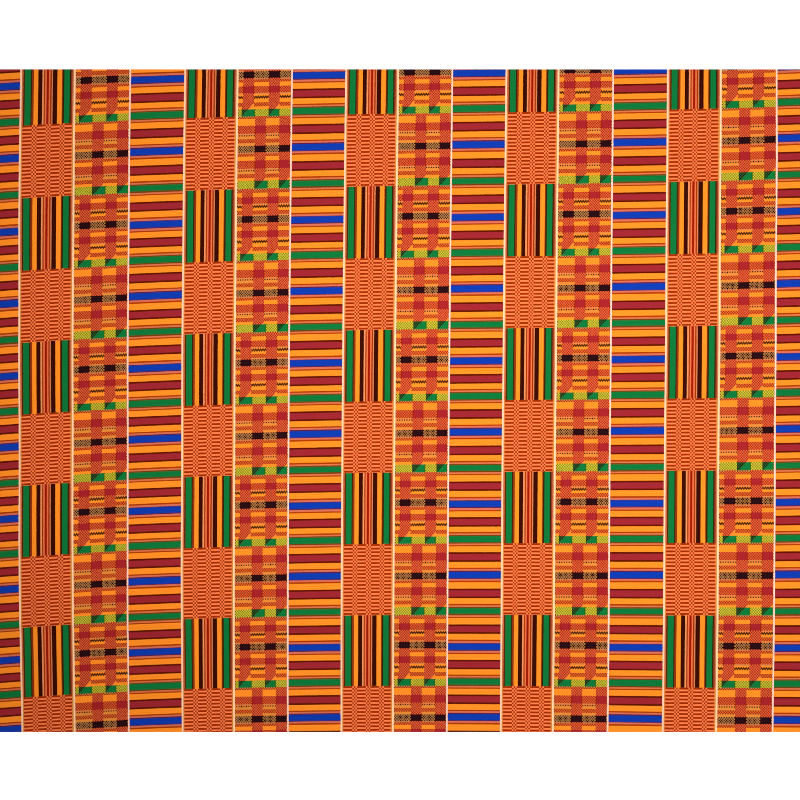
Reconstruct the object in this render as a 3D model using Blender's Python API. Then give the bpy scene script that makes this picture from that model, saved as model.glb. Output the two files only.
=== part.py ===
"""A cut length of wax-printed cotton lying flat, in its own faint folds.

Metres, +Z up. The cloth lies in the XY plane on Z = 0, centred on the origin,
with the warp and the printed strips along Y.
"""

from dataclasses import dataclass
from math import cos, pi, radians, sin

import bmesh
import bpy

# The cut length
CLOTH_WIDTH = 0.967
CLOTH_LENGTH = 0.740
CLOTH_THICKNESS = 0.001

# The grid that carries the folds: even columns, and rows that gather at each crease
COLUMNS = 42
ROW_PITCH = 0.019
CREASE_ROW_OFFSETS = (0.004, 0.010, 0.018)


@dataclass(frozen=True)
class Roll:
    """A low round roll right across the width, with its crest on the line y."""

    y: float
    rise: float
    reach_above: float
    reach_below: float


@dataclass(frozen=True)
class Crease:
    """A pressed fold line right across the width, where the cloth stands up a little."""

    y: float
    rise: float
    reach_above: float
    reach_below: float


@dataclass(frozen=True)
class Ripple:
    """A soft wave that the cloth has not lain down from, with its crest at x, y."""

    x: float
    y: float
    heading_deg: float
    length: float
    width: float
    rise: float


ROLLS = (
    Roll(y=0.295, rise=0.0008, reach_above=0.075, reach_below=0.070),
    Roll(y=0.055, rise=0.0020, reach_above=0.120, reach_below=0.090),
    Roll(y=-0.250, rise=0.0024, reach_above=0.200, reach_below=0.110),
)

CREASES = (
    Crease(y=0.272, rise=0.0004, reach_above=0.050, reach_below=0.030),
    Crease(y=0.008, rise=0.0004, reach_above=0.050, reach_below=0.030),
    Crease(y=-0.250, rise=0.0008, reach_above=0.150, reach_below=0.020),
)

RIPPLES = (
    Ripple(x=-0.395, y=-0.150, heading_deg=78.0, length=0.300, width=0.150, rise=0.0042),
    Ripple(x=-0.250, y=-0.185, heading_deg=66.0, length=0.230, width=0.120, rise=0.0026),
    Ripple(x=-0.430, y=0.215, heading_deg=97.0, length=0.260, width=0.120, rise=0.0034),
    Ripple(x=-0.120, y=-0.330, heading_deg=12.0, length=0.300, width=0.110, rise=0.0018),
    Ripple(x=0.300, y=-0.325, heading_deg=-8.0, length=0.280, width=0.100, rise=0.0016),
    Ripple(x=0.425, y=0.250, heading_deg=70.0, length=0.240, width=0.120, rise=0.0026),
    Ripple(x=0.405, y=-0.105, heading_deg=102.0, length=0.220, width=0.110, rise=0.0018),
    Ripple(x=-0.075, y=0.330, heading_deg=-4.0, length=0.260, width=0.090, rise=0.0016),
)

INK_ORANGE = (0.965, 0.300, 0.023)


def swell(distance, reach):
    """Returns a round bump's height, 1 on its crest and 0 from reach outwards."""
    if abs(distance) >= reach:
        return 0.0
    return cos(0.5 * pi * distance / reach) ** 2


def roll_height(roll, y):
    """Returns how far a roll lifts the cloth on the line y."""
    reach = roll.reach_above if y > roll.y else roll.reach_below
    return roll.rise * swell(y - roll.y, reach)


def crease_height(crease, y):
    """Returns how far a crease lifts the cloth on the line y."""
    reach = crease.reach_above if y > crease.y else crease.reach_below
    return crease.rise * max(0.0, 1.0 - abs(y - crease.y) / reach) ** 3


def ripple_height(ripple, x, y):
    """Returns how far a ripple lifts the cloth at the point x, y."""
    heading = radians(ripple.heading_deg)
    along = (x - ripple.x) * cos(heading) + (y - ripple.y) * sin(heading)
    across = (y - ripple.y) * cos(heading) - (x - ripple.x) * sin(heading)
    return ripple.rise * swell(along, 0.5 * ripple.length) * swell(across, 0.5 * ripple.width)


def fold_height(x, y):
    """Returns the height of the cloth's underside at the point x, y."""
    folds = sum(roll_height(roll, y) for roll in ROLLS)
    folds += sum(crease_height(crease, y) for crease in CREASES)
    return folds + sum(ripple_height(ripple, x, y) for ripple in RIPPLES)


def column_lines():
    """Returns the x of each grid line, evenly across the width."""
    return [CLOTH_WIDTH * (column / COLUMNS - 0.5) for column in range(COLUMNS + 1)]


def row_lines():
    """Returns the y of each grid line, from the near edge to the far one."""
    rows = {-0.5 * CLOTH_LENGTH, 0.5 * CLOTH_LENGTH}
    for crease in CREASES:
        rows.add(crease.y)
        rows.update(crease.y + offset for offset in CREASE_ROW_OFFSETS)
        rows.update(crease.y - offset for offset in CREASE_ROW_OFFSETS)
    fixed = sorted(rows)
    lines = []
    for low, high in zip(fixed, fixed[1:]):
        steps = max(1, round((high - low) / ROW_PITCH))
        lines += [low + (high - low) * step / steps for step in range(steps)]
    return lines + [fixed[-1]]


def build_cloth(name, material):
    """Builds the cloth as one closed sheet on its folds and returns its object."""
    columns = column_lines()
    rows = row_lines()
    shape = bmesh.new()
    grid = [
        [shape.verts.new((x, y, fold_height(x, y))) for x in columns]
        for y in rows
    ]
    for near, far in zip(grid, grid[1:]):
        for left in range(len(columns) - 1):
            right = left + 1
            shape.faces.new((near[left], near[right], far[right], far[left]))

    top = bmesh.ops.extrude_face_region(shape, geom=shape.faces[:])
    top_points = [item for item in top["geom"] if isinstance(item, bmesh.types.BMVert)]
    bmesh.ops.translate(shape, verts=top_points, vec=(0.0, 0.0, CLOTH_THICKNESS))
    bmesh.ops.recalc_face_normals(shape, faces=shape.faces)

    mesh = bpy.data.meshes.new(name)
    shape.to_mesh(mesh)
    shape.free()
    mesh.shade_smooth()
    mesh.set_sharp_from_angle(angle=radians(40.0))
    mesh.materials.append(material)
    cloth = bpy.data.objects.new(name, mesh)
    bpy.context.scene.collection.objects.link(cloth)
    return cloth


def printed_cotton():
    """Returns the cloth's material, in the orange of the print's ground."""
    material = bpy.data.materials.new("printed_cotton")
    material.use_nodes = True
    shader = material.node_tree.nodes["Principled BSDF"]
    shader.inputs["Base Color"].default_value = (*INK_ORANGE, 1.0)
    shader.inputs["Roughness"].default_value = 0.85
    shader.inputs["Metallic"].default_value = 0.0
    return material


def main():
    """Clears the scene and builds the cloth."""
    for item in list(bpy.data.objects):
        bpy.data.objects.remove(item, do_unlink=True)
    build_cloth("cloth", printed_cotton())


main()
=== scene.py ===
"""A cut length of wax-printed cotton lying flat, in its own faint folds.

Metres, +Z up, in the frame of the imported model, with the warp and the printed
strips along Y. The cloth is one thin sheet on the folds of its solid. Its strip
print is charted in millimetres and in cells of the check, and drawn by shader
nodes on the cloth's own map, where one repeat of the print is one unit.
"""

import logging
from dataclasses import dataclass
from enum import Enum
from math import cos, pi, radians, sin
from typing import Sequence, Union

import bmesh
import bpy
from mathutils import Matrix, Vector


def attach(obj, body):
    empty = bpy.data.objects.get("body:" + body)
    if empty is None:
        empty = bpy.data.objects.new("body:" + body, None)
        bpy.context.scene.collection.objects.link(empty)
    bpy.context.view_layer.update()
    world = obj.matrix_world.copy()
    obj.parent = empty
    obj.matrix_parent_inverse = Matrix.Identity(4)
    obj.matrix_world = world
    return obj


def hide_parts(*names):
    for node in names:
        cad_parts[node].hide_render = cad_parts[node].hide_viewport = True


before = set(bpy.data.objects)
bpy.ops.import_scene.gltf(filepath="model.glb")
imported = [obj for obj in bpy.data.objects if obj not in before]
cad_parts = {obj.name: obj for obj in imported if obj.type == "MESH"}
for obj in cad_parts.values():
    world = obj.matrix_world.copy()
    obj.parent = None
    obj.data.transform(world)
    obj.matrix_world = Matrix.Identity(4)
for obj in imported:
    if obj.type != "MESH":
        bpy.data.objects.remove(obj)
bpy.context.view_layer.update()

log = logging.getLogger("cloth")

# Metres in a millimetre
MM = 0.001

# The cloth's map. The export keeps a map of this name where it holds the print best
CLOTH_MAP = "OFBake"

# How much the lamps and the sky are raised, and the inks lowered by as much, so that
# no ink has to reflect more than the light that falls on it
LIGHT_LEVEL = 1.12

# The curve between shown and linear values
SHOWN_TOE = 0.04045
TOE_SLOPE = 12.92
CURVE_OFFSET = 0.055
CURVE_POWER = 2.4

# How the shader nodes are laid out, and the colour sockets of a Mix node
NODE_STEP = 190.0
NODES_IN_ROW = 16
MIX_UNDER = 6
MIX_OVER = 7
MIX_RESULT = 2


class Ink(Enum):
    """The colours on the cloth, as red, green and blue of 255 in even light.

    A bright ink's red is over 255, so that it stays full where the light is weaker.
    """

    CREAM = (266, 209, 171)
    CREAM_WARM = (266, 211, 163)
    CREAM_ROSE = (262, 212, 190)
    ORANGE = (264, 145, 37)
    AMBER = (231, 139, 54)
    PEACH = (225, 134, 68)
    SAND = (207, 121, 70)
    HONEY = (220, 136, 58)
    SALMON = (234, 112, 67)
    SALMON_SOFT = (218, 114, 70)
    SALMON_COOL = (216, 110, 84)
    CLAY = (205, 104, 56)
    CLAY_PALE = (212, 120, 74)
    TAN = (241, 145, 90)
    TAN_SHADED = (214, 124, 82)
    RUST = (174, 58, 0)
    RUST_DEEP = (162, 50, 0)
    BRICK = (140, 50, 16)
    BRICK_SHADED = (140, 56, 30)
    RED = (158, 28, 3)
    MAROON = (159, 38, 47)
    WINE = (167, 34, 40)
    WINE_EDGE = (158, 32, 12)
    BARK = (58, 10, 1)
    BARK_BROWN = (84, 38, 4)
    BARK_GREEN = (50, 32, 0)
    BARK_RED = (98, 20, 0)
    BLACK = (37, 12, 17)
    BLACK_EDGE = (48, 4, 2)
    PLUM = (92, 28, 62)
    BLUE = (14, 58, 171)
    GREEN = (14, 118, 56)
    GREEN_EDGE = (28, 108, 24)
    OLIVE = (112, 62, 14)
    BASKET_GROUND = (260, 129, 73)
    BASKET_DASH = (161, 44, 0)
    CHECK_LIGHT = (223, 100, 55)
    CHECK_DARK = (162, 28, 0)
    CHECK_SIDE = (120, 40, 8)
    CHECK_RIM = (160, 76, 40)
    EMBER_LIGHT = (222, 106, 46)
    EMBER_DARK = (157, 25, 0)
    MOSS_LIGHT = (210, 146, 84)
    MOSS_DARK = (108, 38, 0)
    WARP_LIGHT = (226, 102, 62)
    WARP_DARK = (161, 28, 0)
    STRAW = (194, 131, 77)
    STRAW_DARK = (10, 4, 0)
    LIME = (208, 195, 62)
    LIME_DARK = (126, 124, 8)
    ZIGZAG = (78, 36, 14)
    DOT = (40, 14, 2)
    DOT_GROUND = (236, 128, 58)
    CORNER_LIGHT = (52, 86, 44)
    CORNER_DARK = (4, 34, 4)

    def albedo(self) -> tuple[float, float, float, float]:
        """Returns the ink as a linear colour with full alpha, for light of the named level."""
        red, green, blue = (min(1.0, linear(part / 255.0) / LIGHT_LEVEL) for part in self.value)
        return (red, green, blue, 1.0)


def linear(shown: float) -> float:
    """Turns a shown value into a linear one.

    Args:
        shown: The value as a screen shows it, 1 for its brightest.

    Returns:
        The linear value, on the same scale.
    """
    if shown <= SHOWN_TOE:
        return shown / TOE_SLOPE
    return ((shown + CURVE_OFFSET) / (1.0 + CURVE_OFFSET)) ** CURVE_POWER


Value = Union[float, bpy.types.NodeSocket]
Paint = Union[Ink, bpy.types.NodeSocket]


@dataclass
class NodePen:
    """Draws values, masks and colours as shader nodes in one tree."""

    tree: bpy.types.NodeTree
    drawn: int = 0

    def node(self, kind: str) -> bpy.types.Node:
        """Adds a node, placed after the last one.

        Args:
            kind: The node's type.

        Returns:
            The node.
        """
        made = self.tree.nodes.new(kind)
        row, place = divmod(self.drawn, NODES_IN_ROW)
        made.location = (NODE_STEP * place, -NODE_STEP * row)
        self.drawn += 1
        return made

    def feed(self, socket: bpy.types.NodeSocket, value: Value) -> None:
        """Links a socket to a value, or sets it where the value is no socket.

        Args:
            socket: The socket to feed.
            value: A number, a colour or another node's socket.
        """
        if isinstance(value, bpy.types.NodeSocket):
            self.tree.links.new(value, socket)
        else:
            socket.default_value = value

    def math(self, operation: str, *values: Value) -> bpy.types.NodeSocket:
        """Returns the result of one Math node.

        Args:
            operation: The node's operation.
            values: Its inputs in order, each a number or a socket.

        Returns:
            The node's output socket.
        """
        made = self.node("ShaderNodeMath")
        made.operation = operation
        for socket, value in zip(made.inputs, values):
            self.feed(socket, value)
        return made.outputs[0]

    def past(self, value: Value, edge: float) -> bpy.types.NodeSocket:
        """Returns a mask of 1 where the value is greater than the edge."""
        return self.math("GREATER_THAN", value, edge)

    def before(self, value: Value, edge: float) -> bpy.types.NodeSocket:
        """Returns a mask of 1 where the value is less than the edge."""
        return self.math("LESS_THAN", value, edge)

    def between(self, value: Value, low: float, high: float) -> bpy.types.NodeSocket:
        """Returns a mask of 1 where the value is from low to high."""
        return self.math("COMPARE", value, 0.5 * (low + high), 0.5 * (high - low))

    def from_cell(self, cell: Value, first: float) -> bpy.types.NodeSocket:
        """Returns a mask of 1 where the number of the cell is the first or more."""
        return self.past(cell, first - 0.5)

    def cells(self, cell: Value, first: float, ends: float) -> bpy.types.NodeSocket:
        """Returns a mask of 1 where the number of the cell is from first to before ends."""
        return self.between(cell, first - 0.5, ends - 0.5)

    def both(self, first: Value, second: Value) -> bpy.types.NodeSocket:
        """Returns the overlap of two masks."""
        return self.math("MULTIPLY", first, second)

    def either(self, first: Value, second: Value) -> bpy.types.NodeSocket:
        """Returns the union of two masks."""
        return self.math("MAXIMUM", first, second)

    def colour(self, socket: bpy.types.NodeSocket, paint: Paint) -> None:
        """Links a colour socket to the paint, or sets it where the paint is an ink."""
        self.feed(socket, paint.albedo() if isinstance(paint, Ink) else paint)

    def lay(self, mask: Value, under: Paint, over: Paint) -> bpy.types.NodeSocket:
        """Lays one paint over another.

        Args:
            mask: 1 where the upper paint shows and 0 where the lower one does.
            under: The lower paint.
            over: The upper paint.

        Returns:
            The colour socket of the two together.
        """
        made = self.node("ShaderNodeMix")
        made.data_type = "RGBA"
        self.feed(made.inputs[0], mask)
        self.colour(made.inputs[MIX_UNDER], under)
        self.colour(made.inputs[MIX_OVER], over)
        return made.outputs[MIX_RESULT]

    def run(self, value: Value, ends: Sequence[float], inks: Sequence[Ink]) -> Paint:
        """Paints a run of bars or rows, each from the end of the one before it.

        Args:
            value: The place along the run.
            ends: Where each bar ends.
            inks: The ink of each bar.

        Returns:
            The run's paint.
        """
        painted: Paint = inks[0]
        for end, before, after in zip(ends, inks, inks[1:]):
            if after is not before:
                painted = self.lay(self.past(value, end), painted, after)
        return painted


@dataclass(frozen=True)
class Bar:
    """A bar of one ink, from the end of the bar before it."""

    ends_mm: float
    ink: Ink


@dataclass(frozen=True)
class BarRun:
    """A run of bars of plain ink."""

    bars: tuple[Bar, ...]

    def draw(self, pen: NodePen, place: Value) -> Paint:
        """Returns the paint of the bars at a place in millimetres."""
        return pen.run(place, [bar.ends_mm for bar in self.bars], [bar.ink for bar in self.bars])


@dataclass(frozen=True)
class DashColumn:
    """A column of the basket block, of dashes or of small checks between dashes."""

    from_mm: float
    to_mm: float


@dataclass(frozen=True)
class BasketBlock:
    """A block of short dashes in columns, with three cells of check between columns."""

    dashes: tuple[DashColumn, ...]
    checks: tuple[DashColumn, ...]
    side_mm: tuple[float, float] = (2.2, 55.6)
    pitch_mm: float = 4.058
    first_mm: float = 0.03
    dash_share: float = 0.54
    cells_between: float = 3.0

    def draw(self, pen: NodePen, across: Value, down: Value) -> Paint:
        """Paints the block.

        Args:
            pen: The pen of the print's tree.
            across: Millimetres across the strip.
            down: Millimetres down the block.

        Returns:
            The block's paint.
        """
        from_first = pen.math("SUBTRACT", down, self.first_mm)
        turn = pen.math("FRACT", pen.math("DIVIDE", from_first, self.pitch_mm))
        dash_row = pen.before(turn, self.dash_share)
        dark: Value = 0.0
        for column in self.dashes:
            dark = pen.either(dark, pen.both(dash_row, pen.between(across, column.from_mm, column.to_mm)))
        for column in self.checks:
            cell = (column.to_mm - column.from_mm) / self.cells_between
            middle = pen.between(across, column.from_mm + cell, column.to_mm - cell)
            inside = pen.between(across, column.from_mm, column.to_mm)
            flipped = pen.math("ABSOLUTE", pen.math("SUBTRACT", dash_row, middle))
            sides = pen.both(inside, pen.math("SUBTRACT", 1.0, flipped))
            dark = pen.either(dark, sides)
        ground = pen.lay(pen.between(across, *self.side_mm), Ink.HONEY, Ink.BASKET_GROUND)
        return pen.lay(dark, ground, Ink.BASKET_DASH)


@dataclass(frozen=True)
class CheckRows:
    """Rows of the check in two inks, from the end of the rows before them."""

    ends: int
    light: Ink
    dark: Ink


@dataclass(frozen=True)
class SolidRows:
    """Rows where the warp bands are one solid block, with darker cells at its sides."""

    first: int
    ends: int
    ink: Ink
    edge: Ink


@dataclass(frozen=True)
class WarpBand:
    """A band of nine columns that runs down the check strip to a green foot.

    The slant is the sum of column and row on the diagonal that parts the band from
    its foot.
    """

    first: int
    ends: int
    foot_first: int
    foot_ends: int
    slant: int


@dataclass(frozen=True)
class Zigzag:
    """A dark zigzag between the warp bands, centred on a line of the rows."""

    row: float
    half_height: float = 0.6
    half_width: float = 0.92


@dataclass(frozen=True)
class CheckModule:
    """One module of the check strip, in columns and rows of fine cells.

    The parity says which of the cells are dark.
    """

    rows: tuple[CheckRows, ...]
    solids: tuple[SolidRows, ...]
    bands: tuple[WarpBand, ...]
    zigzags: tuple[Zigzag, ...]
    first_row_mm: float
    row_mm: float
    parity: float
    taper_row: int = 43
    foot_row: int = 48
    first_column_mm: float = 1.0
    column_mm: float = 1.356
    last_column: int = 43

    def draw(self, pen: NodePen, across: Value, down: Value) -> Paint:
        """Paints the module.

        Args:
            pen: The pen of the print's tree.
            across: Millimetres across the strip.
            down: Millimetres down the module.

        Returns:
            The module's paint.
        """
        x = pen.math("DIVIDE", pen.math("SUBTRACT", across, self.first_column_mm), self.column_mm)
        y = pen.math("DIVIDE", pen.math("SUBTRACT", down, self.first_row_mm), self.row_mm)
        column = pen.math("FLOOR", x)
        row = pen.math("FLOOR", y)
        diagonal = pen.math("ADD", column, row)
        # Cells whose column, row and parity add up to an even number are dark
        half = pen.math("MULTIPLY", pen.math("ADD", diagonal, self.parity), 0.5)
        dark = pen.before(pen.math("FRACT", half), 0.25)

        painted = self.blocks(pen, row, dark, pen.before(column, 0.5))
        for zigzag in self.zigzags:
            painted = pen.lay(self.zigzag_mask(pen, zigzag, x, y), painted, Ink.ZIGZAG)
        plain = self.warp(pen, row, dark)
        for band in self.bands:
            painted = self.with_band(pen, painted, plain, band, column, row, diagonal)
        checked = pen.both(self.checked_rows(pen, row), pen.from_cell(column, self.last_column))
        return pen.lay(checked, painted, pen.lay(dark, Ink.CREAM_ROSE, Ink.CHECK_RIM))

    def blocks(self, pen: NodePen, row: Value, dark: Value, first_column: Value) -> Paint:
        """Paints the check between the warp bands, deeper in its first column.

        Args:
            pen: The pen of the print's tree.
            row: The number of the row.
            dark: The mask of the dark cells.
            first_column: The mask of the first column.

        Returns:
            The paint of the check.
        """
        ends = [rows.ends - 0.5 for rows in self.rows]
        light = pen.run(row, ends, [rows.light for rows in self.rows])
        deep = pen.run(row, ends, [rows.dark for rows in self.rows])
        sides = [rows.dark if rows.light is rows.dark else Ink.CHECK_SIDE for rows in self.rows]
        deep = pen.lay(first_column, deep, pen.run(row, ends, sides))
        return pen.lay(dark, light, deep)

    def checked_rows(self, pen: NodePen, row: Value) -> Value:
        """Finds the rows that are checked in two inks.

        Args:
            pen: The pen of the print's tree.
            row: The number of the row.

        Returns:
            The mask of those rows.
        """
        checked: Value = 0.0
        start = 0
        for rows in self.rows:
            if rows.light is not rows.dark:
                checked = pen.either(checked, pen.cells(row, start, rows.ends))
            start = rows.ends
        return checked

    def zigzag_mask(self, pen: NodePen, zigzag: Zigzag, x: Value, y: Value) -> Value:
        """Draws a zigzag, with a point up on each even column.

        Args:
            pen: The pen of the print's tree.
            zigzag: The zigzag to draw.
            x: The place across, in columns.
            y: The place down, in rows.

        Returns:
            The mask of the zigzag.
        """
        swing = pen.math("PINGPONG", pen.math("SUBTRACT", x, 0.5), 1.0)
        line = pen.math("SUBTRACT", y, pen.math("MULTIPLY", swing, 2.0 * zigzag.half_height))
        top = zigzag.row - zigzag.half_height
        return pen.between(line, top - zigzag.half_width, top + zigzag.half_width)

    def warp(self, pen: NodePen, row: Value, dark: Value) -> Paint:
        """Paints a warp band without its sides and its foot.

        Args:
            pen: The pen of the print's tree.
            row: The number of the row.
            dark: The mask of the dark cells.

        Returns:
            The paint of the band.
        """
        painted = pen.lay(dark, Ink.WARP_LIGHT, Ink.WARP_DARK)
        for solid in self.solids:
            painted = pen.lay(pen.cells(row, solid.first, solid.ends), painted, solid.ink)
        corner = pen.lay(dark, Ink.CORNER_LIGHT, Ink.CORNER_DARK)
        return pen.lay(pen.from_cell(row, self.foot_row), painted, corner)

    def with_band(
        self,
        pen: NodePen,
        painted: Paint,
        plain: Paint,
        band: WarpBand,
        column: Value,
        row: Value,
        diagonal: Value,
    ) -> Paint:
        """Lays one warp band over the blocks.

        Args:
            pen: The pen of the print's tree.
            painted: The paint so far.
            plain: The paint of a band without its sides and foot.
            band: The band to lay.
            column: The number of the column.
            row: The number of the row.
            diagonal: The sum of the two.

        Returns:
            The paint with the band.
        """
        in_foot = pen.from_cell(row, self.foot_row)
        above = pen.math("SUBTRACT", 1.0, in_foot)
        tapered = pen.from_cell(row, self.taper_row)
        body = pen.both(above, pen.cells(column, band.first, band.ends))
        flare = pen.both(pen.both(above, tapered), pen.cells(column, band.foot_first, band.first))
        foot = pen.both(in_foot, pen.cells(column, band.foot_first, band.foot_ends))
        slanted = pen.both(pen.from_cell(diagonal, band.slant), tapered)
        beyond = pen.lay(in_foot, Ink.ORANGE, Ink.GREEN)
        inside = pen.lay(slanted, plain, beyond)
        sides = pen.either(
            pen.cells(column, band.first, band.first + 1),
            pen.cells(column, band.ends - 1, band.ends),
        )
        for solid in self.solids:
            rows = pen.cells(row, solid.first, solid.ends)
            inside = pen.lay(pen.both(rows, sides), inside, solid.edge)
        foot_side = pen.both(in_foot, pen.cells(column, band.foot_ends - 1, band.foot_ends))
        inside = pen.lay(foot_side, inside, Ink.GREEN_EDGE)
        where = pen.either(pen.either(body, flare), foot)
        return pen.lay(where, painted, inside)


@dataclass(frozen=True)
class PaleLine:
    """A pale line between two strips, in millimetres across the repeat."""

    from_mm: float
    to_mm: float
    ink: Ink


UPRIGHT_BARS = BarRun(
    bars=(
        Bar(2.7, Ink.CLAY),
        Bar(4.4, Ink.BARK_BROWN),
        Bar(10.7, Ink.GREEN),
        Bar(11.9, Ink.BARK_GREEN),
        Bar(14.0, Ink.BRICK),
        Bar(18.7, Ink.ORANGE),
        Bar(23.2, Ink.BARK),
        Bar(24.9, Ink.TAN),
        Bar(26.2, Ink.RUST_DEEP),
        Bar(27.8, Ink.SALMON),
        Bar(30.3, Ink.RED),
        Bar(31.8, Ink.SALMON),
        Bar(33.3, Ink.RUST_DEEP),
        Bar(34.5, Ink.TAN_SHADED),
        Bar(39.4, Ink.BARK),
        Bar(44.4, Ink.ORANGE),
        Bar(45.3, Ink.BRICK),
        Bar(46.9, Ink.BARK_GREEN),
        Bar(52.8, Ink.GREEN),
        Bar(54.2, Ink.BARK_GREEN),
        Bar(55.8, Ink.BRICK_SHADED),
        Bar(57.6, Ink.CLAY_PALE),
    )
)

BASKET = BasketBlock(
    dashes=(
        DashColumn(2.20, 12.45),
        DashColumn(17.50, 27.55),
        DashColumn(32.65, 42.70),
        DashColumn(47.65, 55.60),
    ),
    checks=(
        DashColumn(12.45, 17.50),
        DashColumn(27.55, 32.65),
        DashColumn(42.70, 47.65),
    ),
)

UPPER_CROSS_BARS = BarRun(
    bars=(
        Bar(0.5, Ink.OLIVE),
        Bar(2.3, Ink.SALMON_SOFT),
        Bar(3.65, Ink.RUST),
        Bar(10.65, Ink.ORANGE),
        Bar(12.7, Ink.BARK_RED),
        Bar(19.4, Ink.MAROON),
        Bar(21.35, Ink.BARK_RED),
        Bar(27.85, Ink.ORANGE),
        Bar(29.65, Ink.RUST),
        Bar(31.7, Ink.SALMON_COOL),
        Bar(32.4, Ink.PLUM),
        Bar(39.3, Ink.BLUE),
        Bar(40.4, Ink.PLUM),
        Bar(42.65, Ink.SALMON_COOL),
        Bar(44.15, Ink.RUST),
        Bar(50.45, Ink.ORANGE),
        Bar(52.45, Ink.BARK_RED),
        Bar(59.3, Ink.MAROON),
        Bar(61.25, Ink.BARK_RED),
        Bar(67.15, Ink.ORANGE),
        Bar(68.75, Ink.RUST),
        Bar(70.45, Ink.SALMON_SOFT),
        Bar(71.7, Ink.OLIVE),
        Bar(78.6, Ink.GREEN),
        Bar(79.8, Ink.OLIVE),
    )
)

LOWER_CROSS_BARS = BarRun(
    bars=(
        Bar(0.2, Ink.OLIVE),
        Bar(1.95, Ink.SALMON_SOFT),
        Bar(3.35, Ink.RUST),
        Bar(9.8, Ink.ORANGE),
        Bar(11.8, Ink.BARK_RED),
        Bar(18.7, Ink.MAROON),
        Bar(20.75, Ink.BARK_RED),
        Bar(27.1, Ink.ORANGE),
        Bar(28.6, Ink.RUST),
        Bar(30.5, Ink.SALMON_COOL),
        Bar(31.8, Ink.PLUM),
        Bar(38.9, Ink.BLUE),
        Bar(39.7, Ink.PLUM),
        Bar(41.65, Ink.SALMON_COOL),
        Bar(43.5, Ink.RUST),
        Bar(50.45, Ink.ORANGE),
        Bar(52.45, Ink.BARK_RED),
        Bar(59.3, Ink.MAROON),
        Bar(61.3, Ink.BARK_RED),
        Bar(67.45, Ink.ORANGE),
        Bar(69.2, Ink.RUST),
        Bar(70.95, Ink.SALMON_SOFT),
        Bar(72.35, Ink.OLIVE),
        Bar(78.55, Ink.GREEN),
        Bar(79.8, Ink.OLIVE),
    )
)

CHECK_WITH_ZIGZAGS = CheckModule(
    first_row_mm=0.28,
    row_mm=1.4927,
    parity=0.0,
    rows=(
        CheckRows(1, Ink.MOSS_LIGHT, Ink.MOSS_DARK),
        CheckRows(3, Ink.EMBER_LIGHT, Ink.EMBER_DARK),
        CheckRows(6, Ink.ORANGE, Ink.ORANGE),
        CheckRows(11, Ink.CHECK_LIGHT, Ink.CHECK_DARK),
        CheckRows(12, Ink.PEACH, Ink.PEACH),
        CheckRows(16, Ink.ORANGE, Ink.ORANGE),
        CheckRows(19, Ink.EMBER_LIGHT, Ink.EMBER_DARK),
        CheckRows(20, Ink.PEACH, Ink.PEACH),
        CheckRows(25, Ink.STRAW, Ink.STRAW_DARK),
        CheckRows(26, Ink.SAND, Ink.SAND),
        CheckRows(28, Ink.EMBER_LIGHT, Ink.EMBER_DARK),
        CheckRows(31, Ink.ORANGE, Ink.ORANGE),
        CheckRows(36, Ink.CHECK_LIGHT, Ink.CHECK_DARK),
        CheckRows(37, Ink.PEACH, Ink.PEACH),
        CheckRows(43, Ink.ORANGE, Ink.ORANGE),
        CheckRows(46, Ink.EMBER_LIGHT, Ink.EMBER_DARK),
        CheckRows(48, Ink.ORANGE, Ink.ORANGE),
        CheckRows(54, Ink.LIME, Ink.LIME_DARK),
    ),
    solids=(
        SolidRows(6, 11, Ink.WINE, Ink.WINE_EDGE),
        SolidRows(20, 25, Ink.BLACK, Ink.BLACK_EDGE),
        SolidRows(31, 36, Ink.WINE, Ink.WINE_EDGE),
    ),
    bands=(
        WarpBand(first=4, ends=13, foot_first=3, foot_ends=14, slant=56),
        WarpBand(first=25, ends=34, foot_first=25, foot_ends=34, slant=78),
    ),
    zigzags=(Zigzag(row=13.15), Zigzag(row=39.15)),
)

CHECK_WITH_DOTS = CheckModule(
    first_row_mm=-0.25,
    row_mm=1.4844,
    parity=1.0,
    rows=(
        CheckRows(1, Ink.MOSS_LIGHT, Ink.MOSS_DARK),
        CheckRows(2, Ink.EMBER_LIGHT, Ink.EMBER_DARK),
        CheckRows(7, Ink.ORANGE, Ink.ORANGE),
        CheckRows(13, Ink.CHECK_LIGHT, Ink.CHECK_DARK),
        CheckRows(14, Ink.PEACH, Ink.PEACH),
        CheckRows(15, Ink.DOT_GROUND, Ink.DOT),
        CheckRows(17, Ink.AMBER, Ink.AMBER),
        CheckRows(20, Ink.EMBER_LIGHT, Ink.EMBER_DARK),
        CheckRows(22, Ink.AMBER, Ink.AMBER),
        CheckRows(27, Ink.STRAW, Ink.STRAW_DARK),
        CheckRows(28, Ink.SAND, Ink.SAND),
        CheckRows(30, Ink.EMBER_LIGHT, Ink.EMBER_DARK),
        CheckRows(33, Ink.ORANGE, Ink.ORANGE),
        CheckRows(39, Ink.CHECK_LIGHT, Ink.CHECK_DARK),
        CheckRows(40, Ink.PEACH, Ink.PEACH),
        CheckRows(41, Ink.DOT_GROUND, Ink.DOT),
        CheckRows(43, Ink.AMBER, Ink.AMBER),
        CheckRows(46, Ink.EMBER_LIGHT, Ink.EMBER_DARK),
        CheckRows(48, Ink.ORANGE, Ink.ORANGE),
        CheckRows(54, Ink.LIME, Ink.LIME_DARK),
    ),
    solids=(
        SolidRows(7, 13, Ink.WINE, Ink.WINE_EDGE),
        SolidRows(22, 27, Ink.BLACK, Ink.BLACK_EDGE),
        SolidRows(33, 39, Ink.WINE, Ink.WINE_EDGE),
    ),
    bands=(
        WarpBand(first=14, ends=23, foot_first=14, foot_ends=25, slant=69),
        WarpBand(first=34, ends=43, foot_first=34, foot_ends=43, slant=88),
    ),
    zigzags=(),
)


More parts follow.
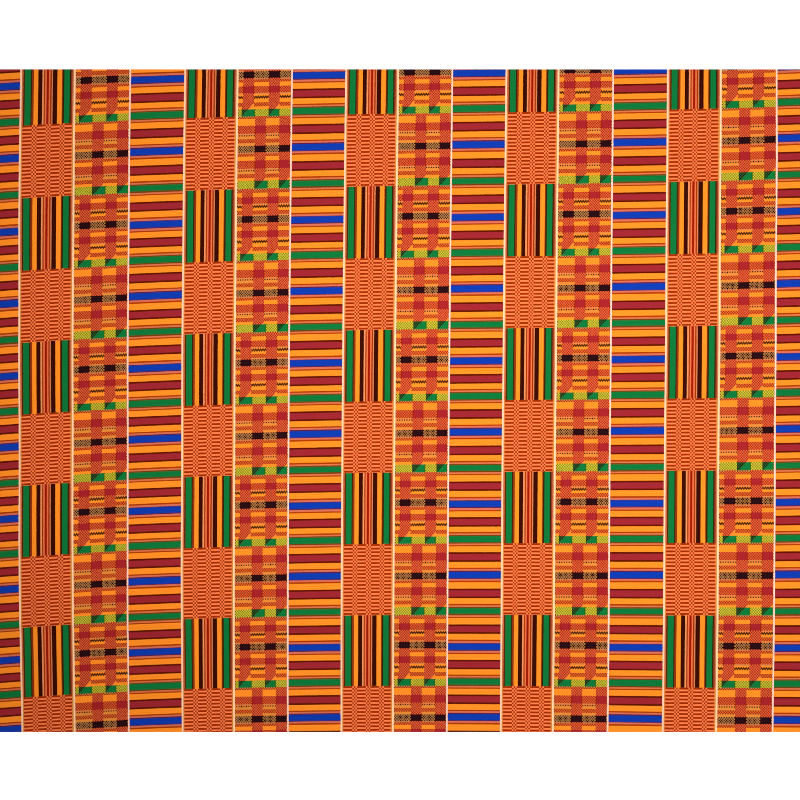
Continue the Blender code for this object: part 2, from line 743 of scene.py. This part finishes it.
@dataclass(frozen=True)
class StripPrint:
    """The print's repeat: three strips side by side, in two modules one above the other."""

    width_mm: float = 178.91
    height_mm: float = 159.57
    check_strip_mm: float = 58.16
    cross_strip_mm: float = 118.80
    upright: BarRun = UPRIGHT_BARS
    basket: BasketBlock = BASKET
    upper_cross: BarRun = UPPER_CROSS_BARS
    lower_cross: BarRun = LOWER_CROSS_BARS
    upper_check: CheckModule = CHECK_WITH_ZIGZAGS
    lower_check: CheckModule = CHECK_WITH_DOTS
    lines: tuple[PaleLine, ...] = (
        PaleLine(-0.1, 1.03, Ink.CREAM),
        PaleLine(57.16, 59.13, Ink.CREAM_WARM),
        PaleLine(117.95, 119.50, Ink.CREAM_ROSE),
        PaleLine(178.04, 179.0, Ink.CREAM),
    )

    def draw(self, pen: NodePen, across: Value, down: Value) -> Paint:
        """Paints the repeat.

        Args:
            pen: The pen of the print's tree.
            across: Millimetres across the repeat.
            down: Millimetres down the repeat.

        Returns:
            The repeat's paint.
        """
        module = 0.5 * self.height_mm
        lower = pen.past(down, module)
        within = pen.math("SUBTRACT", down, pen.math("MULTIPLY", lower, module))
        first = pen.lay(lower, self.upright.draw(pen, across), self.basket.draw(pen, across, within))
        over_check = pen.math("SUBTRACT", across, self.check_strip_mm)
        second = pen.lay(
            lower,
            self.upper_check.draw(pen, over_check, within),
            self.lower_check.draw(pen, over_check, within),
        )
        third = pen.lay(lower, self.upper_cross.draw(pen, within), self.lower_cross.draw(pen, within))
        painted = pen.lay(pen.past(across, self.check_strip_mm), first, second)
        painted = pen.lay(pen.past(across, self.cross_strip_mm), painted, third)
        for line in self.lines:
            painted = pen.lay(pen.between(across, line.from_mm, line.to_mm), painted, line.ink)
        return painted


@dataclass(frozen=True)
class WaxCotton:
    """Plain-weave cotton, printed through and lightly calendered."""

    name: str = "printed_cotton"
    roughness: float = 0.86
    specular: float = 0.02
    sheen: float = 0.02
    sheen_roughness: float = 0.5
    threads_across: int = 400
    threads_down: int = 356
    weave_height_mm: float = 0.05
    weave_strength: float = 0.5
    slub_mm: float = 3.2
    slub_detail: float = 3.0
    tone_range: float = 0.05

    def material(self, print_design: StripPrint) -> bpy.types.Material:
        """Builds the material.

        Args:
            print_design: The repeat that is printed on it.

        Returns:
            The cotton's material.
        """
        made = bpy.data.materials.new(self.name)
        made.use_nodes = True
        pen = NodePen(made.node_tree)
        shader = made.node_tree.nodes["Principled BSDF"]
        place = pen.node("ShaderNodeUVMap")
        place.uv_map = CLOTH_MAP
        parts = pen.node("ShaderNodeSeparateXYZ")
        pen.feed(parts.inputs[0], place.outputs["UV"])
        u = pen.math("FRACT", parts.outputs["X"])
        v = pen.math("FRACT", pen.math("MULTIPLY", parts.outputs["Y"], -1.0))
        across = pen.math("MULTIPLY", u, print_design.width_mm)
        down = pen.math("MULTIPLY", v, print_design.height_mm)

        dyed = print_design.draw(pen, across, down)
        pen.feed(shader.inputs["Base Color"], self.toned(pen, dyed))
        pen.feed(shader.inputs["Normal"], self.weave(pen, u, v))
        shader.inputs["Roughness"].default_value = self.roughness
        shader.inputs["Specular IOR Level"].default_value = self.specular
        shader.inputs["Sheen Weight"].default_value = self.sheen
        shader.inputs["Sheen Roughness"].default_value = self.sheen_roughness
        return made

    def toned(self, pen: NodePen, dyed: Paint) -> bpy.types.NodeSocket:
        """Varies the dye a little from place to place.

        Args:
            pen: The pen of the cotton's tree.
            dyed: The paint of the print.

        Returns:
            The colour of the varied dye.
        """
        place = pen.node("ShaderNodeTexCoord")
        noise = pen.node("ShaderNodeTexNoise")
        pen.feed(noise.inputs["Vector"], place.outputs["Object"])
        noise.inputs["Scale"].default_value = 1.0 / (self.slub_mm * MM)
        noise.inputs["Detail"].default_value = self.slub_detail
        from_middle = pen.math("SUBTRACT", noise.outputs["Fac"], 0.5)
        spread = pen.math("MULTIPLY", from_middle, self.tone_range)
        tone = pen.math("ADD", spread, 1.0)
        scaled = pen.node("ShaderNodeVectorMath")
        scaled.operation = "SCALE"
        pen.feed(scaled.inputs[0], dyed)
        pen.feed(scaled.inputs["Scale"], tone)
        return scaled.outputs[0]

    def weave(self, pen: NodePen, u: Value, v: Value) -> bpy.types.NodeSocket:
        """Raises the plain weave, where warp and weft cross in turn.

        Args:
            pen: The pen of the cotton's tree.
            u: The place across one repeat, from 0 to 1.
            v: The place down one repeat, from 0 to 1.

        Returns:
            The normal of the weave.
        """
        warp = pen.math("SINE", pen.math("MULTIPLY", u, 2.0 * pi * self.threads_across))
        weft = pen.math("SINE", pen.math("MULTIPLY", v, 2.0 * pi * self.threads_down))
        bump = pen.node("ShaderNodeBump")
        bump.inputs["Strength"].default_value = self.weave_strength
        bump.inputs["Distance"].default_value = self.weave_height_mm * MM
        pen.feed(bump.inputs["Height"], pen.math("MULTIPLY", warp, weft))
        return bump.outputs["Normal"]


@dataclass(frozen=True)
class StripPull:
    """How far each pull has moved the strips to the right, at the edges of the shown cloth."""

    widen_mm: float = 0.5
    lean_mm: float = -3.0
    gather_mm: float = -2.0
    fan_mm: float = -1.5
    bow_mm: float = -1.0
    side_gather_mm: float = -6.0
    side_lean_mm: float = 2.5
    side_bow_mm: float = 1.5

    def shift_mm(self, across: float, along: float) -> float:
        """Adds the pulls up at one place.

        Args:
            across: The place from the centre to the right, in half widths.
            along: The place from the centre to the far edge, in half lengths.

        Returns:
            Millimetres to the right.
        """
        return (
            self.widen_mm * across
            + self.lean_mm * along
            + self.gather_mm * across**2
            + self.fan_mm * across * along
            + self.bow_mm * along**2
            + self.side_gather_mm * across**3
            + self.side_lean_mm * across**2 * along
            + self.side_bow_mm * across * along**2
        )


@dataclass(frozen=True)
class BarPull:
    """How far each pull has moved the cross bars up, at the edges of the shown cloth."""

    skew_mm: float = -5.5
    bow_mm: float = 6.0
    hook_mm: float = -5.5
    fan_mm: float = -3.0
    gather_mm: float = -2.0
    far_bow_mm: float = -3.5
    end_skew_mm: float = 2.5

    def shift_mm(self, across: float, along: float) -> float:
        """Adds the pulls up at one place.

        Args:
            across: The place from the centre to the right, in half widths.
            along: The place from the centre to the far edge, in half lengths.

        Returns:
            Millimetres towards the far edge.
        """
        return (
            self.skew_mm * across
            + self.bow_mm * across**2
            + self.hook_mm * across**3
            + self.fan_mm * across * along
            + self.gather_mm * along**2
            + self.far_bow_mm * across**2 * along
            + self.end_skew_mm * across * along**2
        )


@dataclass(frozen=True)
class PrintLay:
    """How the print lies on the cloth: where it starts, and how it has pulled.

    The centre, half width and half length are those of the cloth that the photo shows.
    """

    centre_x_mm: float = 0.5
    centre_y_mm: float = 0.73
    half_width_mm: float = 446.6
    half_length_mm: float = 370.7
    first_strip_mm: float = -421.88
    first_module_mm: float = 397.77
    strips: StripPull = StripPull()
    bars: BarPull = BarPull()

    def on_print(self, x: float, y: float, design: StripPrint) -> tuple[float, float]:
        """Finds a point of the cloth on the print.

        Args:
            x: Metres across the cloth from its centre.
            y: Metres along the cloth from its centre.
            design: The repeat, for its size.

        Returns:
            Repeats across, and repeats up from the top of the first module.
        """
        right = x / MM - self.centre_x_mm
        up = y / MM - self.centre_y_mm
        across = right / self.half_width_mm
        along = up / self.half_length_mm
        right += self.strips.shift_mm(across, along)
        up += self.bars.shift_mm(across, along)
        return (
            (right - self.first_strip_mm) / design.width_mm,
            (up - self.first_module_mm) / design.height_mm,
        )


@dataclass(frozen=True)
class Roll:
    """A low round roll right across the width, with its crest on the line y."""

    y: float
    rise: float
    reach_above: float
    reach_below: float


@dataclass(frozen=True)
class Crease:
    """A pressed fold line right across the width, where the cloth stands up a little."""

    y: float
    rise: float
    reach_above: float
    reach_below: float


@dataclass(frozen=True)
class Ripple:
    """A soft wave that the cloth has not lain down from, with its crest at x, y."""

    x: float
    y: float
    heading_deg: float
    length: float
    width: float
    rise: float


def swell(distance: float, reach: float) -> float:
    """Works out the height of a round bump.

    Args:
        distance: How far the point is from the bump's crest.
        reach: How far the bump reaches from its crest.

    Returns:
        1 on the crest and 0 from reach outwards.
    """
    if abs(distance) >= reach:
        return 0.0
    return cos(0.5 * pi * distance / reach) ** 2


@dataclass(frozen=True)
class ClothFolds:
    """The rolls, creases and ripples that the cloth keeps as it lies."""

    rolls: tuple[Roll, ...] = (
        Roll(y=0.295, rise=0.0008, reach_above=0.075, reach_below=0.070),
        Roll(y=0.055, rise=0.0020, reach_above=0.120, reach_below=0.090),
        Roll(y=-0.250, rise=0.0024, reach_above=0.200, reach_below=0.110),
    )
    creases: tuple[Crease, ...] = (
        Crease(y=0.272, rise=0.0004, reach_above=0.050, reach_below=0.030),
        Crease(y=0.008, rise=0.0004, reach_above=0.050, reach_below=0.030),
        Crease(y=-0.250, rise=0.0008, reach_above=0.150, reach_below=0.020),
    )
    ripples: tuple[Ripple, ...] = (
        Ripple(x=-0.395, y=-0.150, heading_deg=78.0, length=0.300, width=0.150, rise=0.0042),
        Ripple(x=-0.250, y=-0.185, heading_deg=66.0, length=0.230, width=0.120, rise=0.0026),
        Ripple(x=-0.430, y=0.215, heading_deg=97.0, length=0.260, width=0.120, rise=0.0034),
        Ripple(x=-0.120, y=-0.330, heading_deg=12.0, length=0.300, width=0.110, rise=0.0018),
        Ripple(x=0.300, y=-0.325, heading_deg=-8.0, length=0.280, width=0.100, rise=0.0016),
        Ripple(x=0.425, y=0.250, heading_deg=70.0, length=0.240, width=0.120, rise=0.0026),
        Ripple(x=0.405, y=-0.105, heading_deg=102.0, length=0.220, width=0.110, rise=0.0018),
        Ripple(x=-0.075, y=0.330, heading_deg=-4.0, length=0.260, width=0.090, rise=0.0016),
    )

    def roll_height(self, roll: Roll, y: float) -> float:
        """Returns how far a roll lifts the cloth on the line y."""
        reach = roll.reach_above if y > roll.y else roll.reach_below
        return roll.rise * swell(y - roll.y, reach)

    def crease_height(self, crease: Crease, y: float) -> float:
        """Returns how far a crease lifts the cloth on the line y."""
        reach = crease.reach_above if y > crease.y else crease.reach_below
        return crease.rise * max(0.0, 1.0 - abs(y - crease.y) / reach) ** 3

    def ripple_height(self, ripple: Ripple, x: float, y: float) -> float:
        """Works out how far a ripple lifts the cloth.

        Args:
            ripple: The ripple.
            x: Metres across the cloth from its centre.
            y: Metres along the cloth from its centre.

        Returns:
            Metres.
        """
        heading = radians(ripple.heading_deg)
        along = (x - ripple.x) * cos(heading) + (y - ripple.y) * sin(heading)
        across = (y - ripple.y) * cos(heading) - (x - ripple.x) * sin(heading)
        return ripple.rise * swell(along, 0.5 * ripple.length) * swell(across, 0.5 * ripple.width)

    def height(self, x: float, y: float) -> float:
        """Works out how high the folds lift the cloth's underside.

        Args:
            x: Metres across the cloth from its centre.
            y: Metres along the cloth from its centre.

        Returns:
            Metres.
        """
        folds = sum(self.roll_height(roll, y) for roll in self.rolls)
        folds += sum(self.crease_height(crease, y) for crease in self.creases)
        return folds + sum(self.ripple_height(ripple, x, y) for ripple in self.ripples)


@dataclass(frozen=True)
class ClothLength:
    """The cut length of printed cotton, with its underside a clearance above its solid's."""

    name: str = "printed_cotton_length"
    width: float = 0.967
    length: float = 0.740
    thickness: float = 0.0004
    clearance: float = 0.00005
    columns: int = 160
    rows: int = 296
    folds: ClothFolds = ClothFolds()
    lay: PrintLay = PrintLay()
    design: StripPrint = StripPrint()
    finish: WaxCotton = WaxCotton()

    def build(self) -> bpy.types.Object:
        """Builds the sheet on its folds, maps the print on it and dresses it.

        Returns:
            The cloth's object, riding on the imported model's body.
        """
        shape = bmesh.new()
        bmesh.ops.create_grid(shape, x_segments=self.columns, y_segments=self.rows, size=0.5)
        bmesh.ops.scale(shape, verts=shape.verts, vec=(self.width, self.length, 1.0))
        self.map_print(shape)
        for point in shape.verts:
            point.co.z = self.clearance + self.folds.height(point.co.x, point.co.y)
        for face in shape.faces:
            face.smooth = True
        for edge in shape.edges:
            edge.smooth = not edge.is_boundary
        mesh = bpy.data.meshes.new(self.name)
        shape.to_mesh(mesh)
        shape.free()
        mesh.materials.append(self.finish.material(self.design))

        cloth = bpy.data.objects.new(self.name, mesh)
        bpy.context.scene.collection.objects.link(cloth)
        body = cloth.modifiers.new("cotton_thickness", "SOLIDIFY")
        body.thickness = self.thickness
        body.offset = 1.0
        body.use_rim = True
        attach(cloth, "root")
        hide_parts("cloth")
        return cloth

    def map_print(self, shape: bmesh.types.BMesh) -> None:
        """Writes the cloth's map, where each repeat of the print is one unit.

        Args:
            shape: The flat cloth, which gets the map.
        """
        layer = shape.loops.layers.uv.new(CLOTH_MAP)
        for face in shape.faces:
            for corner in face.loops:
                x, y, _ = corner.vert.co
                corner[layer].uv = self.lay.on_print(x, y, self.design)


@dataclass(frozen=True)
class SoftLight:
    """A soft square light behind a grid that narrows its beam, aimed at a point of the cloth."""

    name: str
    place: tuple[float, float, float]
    aim: tuple[float, float, float]
    size: float
    spread_deg: float
    power: float

    def build(self) -> bpy.types.Object:
        """Adds the light.

        Returns:
            The light's object.
        """
        lamp = bpy.data.lights.new(self.name, "AREA")
        lamp.shape = "SQUARE"
        lamp.size = self.size
        lamp.spread = radians(self.spread_deg)
        lamp.energy = self.power
        made = bpy.data.objects.new(self.name, lamp)
        made.location = self.place
        heading = Vector(self.aim) - Vector(self.place)
        made.rotation_euler = heading.to_track_quat("-Z", "Y").to_euler()
        bpy.context.scene.collection.objects.link(made)
        return made


@dataclass(frozen=True)
class Studio:
    """A plain white floor, soft light from above, and a camera straight overhead.

    The floor glows by its lift, which makes it as white as the photo's ground.
    """

    floor_size: float = 40.0
    floor_tone: float = 0.97
    floor_lift: float = 0.80
    sky: float = 0.20 * LIGHT_LEVEL
    camera_x: float = 0.0005
    camera_y: float = 0.00073
    camera_height: float = 2.1090
    lens: float = 85.0
    sensor: float = 36.0
    film_filter: float = 1.0
    lights: tuple[SoftLight, ...] = (
        SoftLight(
            name="key_light",
            place=(0.52, 1.5, 1.65),
            aim=(0.58, -0.78, 0.0),
            size=0.6,
            spread_deg=62.9,
            power=8.76 * LIGHT_LEVEL,
        ),
        SoftLight(
            name="far_light",
            place=(-0.3, 1.2, 2.4),
            aim=(-0.20, 0.14, 0.0),
            size=0.6,
            spread_deg=39.5,
            power=2.48 * LIGHT_LEVEL,
        ),
    )

    def build(self) -> None:
        """Builds the floor, the sky, the lights and the camera."""
        self.build_floor()
        self.build_sky()
        for light in self.lights:
            light.build()
        self.build_camera()
        self.keep_fine_checks()

    def build_floor(self) -> None:
        """Lays the floor that the cloth rests on."""
        shape = bmesh.new()
        bmesh.ops.create_grid(shape, x_segments=1, y_segments=1, size=0.5 * self.floor_size)
        mesh = bpy.data.meshes.new("floor")
        shape.to_mesh(mesh)
        shape.free()
        material = bpy.data.materials.new("floor_white")
        material.use_nodes = True
        shader = material.node_tree.nodes["Principled BSDF"]
        tone = (self.floor_tone, self.floor_tone, self.floor_tone, 1.0)
        shader.inputs["Base Color"].default_value = tone
        shader.inputs["Roughness"].default_value = 1.0
        shader.inputs["Specular IOR Level"].default_value = 0.0
        shader.inputs["Emission Color"].default_value = (1.0, 1.0, 1.0, 1.0)
        shader.inputs["Emission Strength"].default_value = self.floor_lift
        mesh.materials.append(material)
        floor = bpy.data.objects.new("floor", mesh)
        bpy.context.scene.collection.objects.link(floor)

    def build_sky(self) -> None:
        """Sets an even white light all round."""
        world = bpy.data.worlds.new("white_room")
        world.use_nodes = True
        backdrop = world.node_tree.nodes["Background"]
        backdrop.inputs["Color"].default_value = (1.0, 1.0, 1.0, 1.0)
        backdrop.inputs["Strength"].default_value = self.sky
        bpy.context.scene.world = world

    def build_camera(self) -> None:
        """Hangs the camera over the cloth, looking straight down."""
        camera = bpy.data.cameras.new("overhead_camera")
        camera.lens = self.lens
        camera.sensor_width = self.sensor
        made = bpy.data.objects.new("overhead_camera", camera)
        made.location = (self.camera_x, self.camera_y, self.camera_height)
        bpy.context.scene.collection.objects.link(made)
        bpy.context.scene.camera = made

    def keep_fine_checks(self) -> None:
        """Keeps checks of about a pixel by a narrow film filter and no blurring of the print."""
        scene = bpy.context.scene
        scene.view_settings.view_transform = "Standard"
        scene.cycles.filter_width = self.film_filter
        scene.cycles.denoising_prefilter = "NONE"


def main() -> None:
    """Builds the studio and the cloth, and reports each piece."""
    logging.basicConfig(level=logging.INFO, format="%(name)s: %(message)s")
    Studio().build()
    cloth = ClothLength().build()
    faces = len(cloth.data.polygons)
    nodes = len(cloth.data.materials[0].node_tree.nodes)
    log.info("%s: %d faces, %d shader nodes", cloth.name, faces, nodes)


if __name__ == "__main__":
    main()
